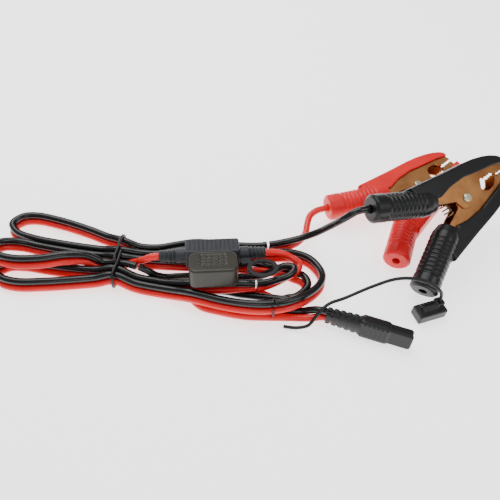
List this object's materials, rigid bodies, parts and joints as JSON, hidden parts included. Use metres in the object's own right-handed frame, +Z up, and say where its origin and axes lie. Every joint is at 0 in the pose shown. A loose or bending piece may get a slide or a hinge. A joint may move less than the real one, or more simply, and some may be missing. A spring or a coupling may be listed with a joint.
{
  "type": "battery clamp lead set",
  "caption": "Red and black sprung battery clamps on a twin cord tied in a hank, with an in-line blade fuse holder and a polarised plug with its dust cap.",
  "frame": {"origin": "under the middle of the clamps and the fuse holder, on the surface they lie on", "axes": "+X from the fuse holder to the clamps, +Z up, -Y towards the side the fuse cap comes off"},
  "size_m": [0.3485, 0.1699, 0.0555],
  "materials": {
    "copper_sheet": "copper-plated steel sheet, satin",
    "red_boot": "soft red vinyl, satin",
    "black_boot": "soft black vinyl, glossy",
    "rivet_zinc": "yellowish zinc plate, satin",
    "spring_brass": "copper-plated spring wire",
    "holder_grey": "dark grey, matte",
    "holder_cap": "olive-black, satin",
    "black_rubber": "black, satin",
    "fuse_plastic": "translucent yellow",
    "contact_brass": "plain brass",
    "twin_cord": "red and black twin vinyl insulation; half of it is black",
    "black_wire": "black vinyl insulation",
    "red_wire": "red vinyl insulation",
    "tie_black": "black coated wire"
  },
  "bodies": {
    "set": {"red_cable_arm": "copper_sheet", "red_cable_boot": "red_boot", "red_rivet": "rivet_zinc", "red_spring": "spring_brass", "red_crimp": "rivet_zinc", "black_cable_arm": "copper_sheet", "black_cable_boot": "black_boot", "black_rivet": "rivet_zinc", "black_spring": "spring_brass", "black_crimp": "rivet_zinc", "fuse_base": "holder_grey", "keeper_ring": "black_rubber", "fuse_body": "fuse_plastic", "fuse_element": "rivet_zinc", "terminal_left": "contact_brass", "terminal_right": "contact_brass", "plug_body": "black_rubber", "plug_pin": "contact_brass", "plug_socket": "contact_brass", "dust_cap": "black_rubber", "twin_cord_plug_side": "twin_cord", "twin_cord_clamp_side": "twin_cord", "black_bypass": "black_wire", "red_to_fuse": "red_wire", "red_from_fuse": "red_wire", "black_lead": "black_wire", "red_lead": "red_wire", "tether": "black_rubber", "tie_left": "tie_black", "tie_right": "tie_black"},
    "red_lower_jaw": {"red_lower_arm": "copper_sheet", "red_lower_boot": "red_boot"},
    "black_lower_jaw": {"black_lower_arm": "copper_sheet", "black_lower_boot": "black_boot"},
    "fuse_holder_cap": {"fuse_cap": "holder_cap"}
  },
  "joints": [
    {"name": "red_jaw", "type": "hinge", "parent": "set", "child": "red_lower_jaw", "pos_m": [0.0612, 0.03564, 0.0129], "axis": [0.0018, 0.0518, -0.9987], "range_deg": [0, 16], "stiffness_Nm_per_rad": 0.6, "springref_deg": -20.05, "deforming": ["red_spring"]},
    {"name": "black_jaw", "type": "hinge", "parent": "set", "child": "black_lower_jaw", "pos_m": [0.0804, 0.00324, 0.0362], "axis": [-0.3086, 0.4757, -0.8237], "range_deg": [0, 16], "stiffness_Nm_per_rad": 0.6, "springref_deg": -20.05, "deforming": ["black_spring"]},
    {"name": "fuse_cap_slide", "type": "slide", "parent": "set", "child": "fuse_holder_cap", "axis": [0.1361, -0.9686, 0.2079], "range_m": [0, 0.024]}
  ]
}
